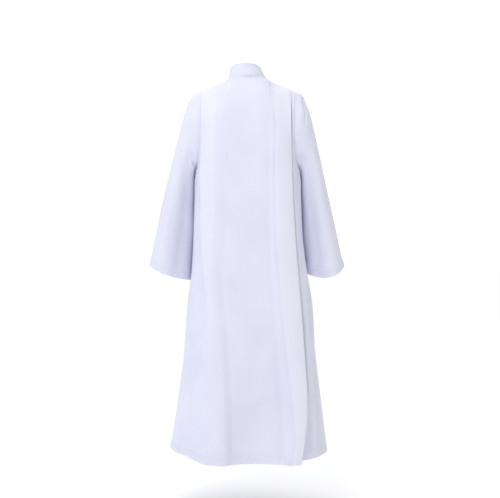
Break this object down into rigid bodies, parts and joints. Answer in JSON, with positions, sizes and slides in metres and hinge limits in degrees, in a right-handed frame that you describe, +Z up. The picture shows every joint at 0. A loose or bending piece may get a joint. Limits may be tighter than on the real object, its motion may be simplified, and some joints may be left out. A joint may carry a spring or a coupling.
{
  "type": "worn alb robe, a long white vestment",
  "caption": "Ankle-length white alb in its worn form: pleated back, lapped fronts, wide hanging sleeves and a stand collar, hollow for a wearer.",
  "frame": {"origin": "between the wearer's shoulders, in the middle plane, at the height of the neck seam, where the shoulders hold the garment", "axes": "+Z up, the front faces -Y and the back +Y, and the wearer's left is at +X"},
  "size_m": [0.7594, 0.4721, 1.4888],
  "materials": {
    "back": "matt",
    "front_left": "matt",
    "front_right": "matt",
    "sleeve_left": "matt",
    "sleeve_right": "matt",
    "collar": "matt"
  },
  "bodies": {
    "root": {"back": "back", "front_left": "front_left", "front_right": "front_right", "sleeve_left": "sleeve_left", "sleeve_right": "sleeve_right", "collar": "collar"}
  },
  "joints": []
}
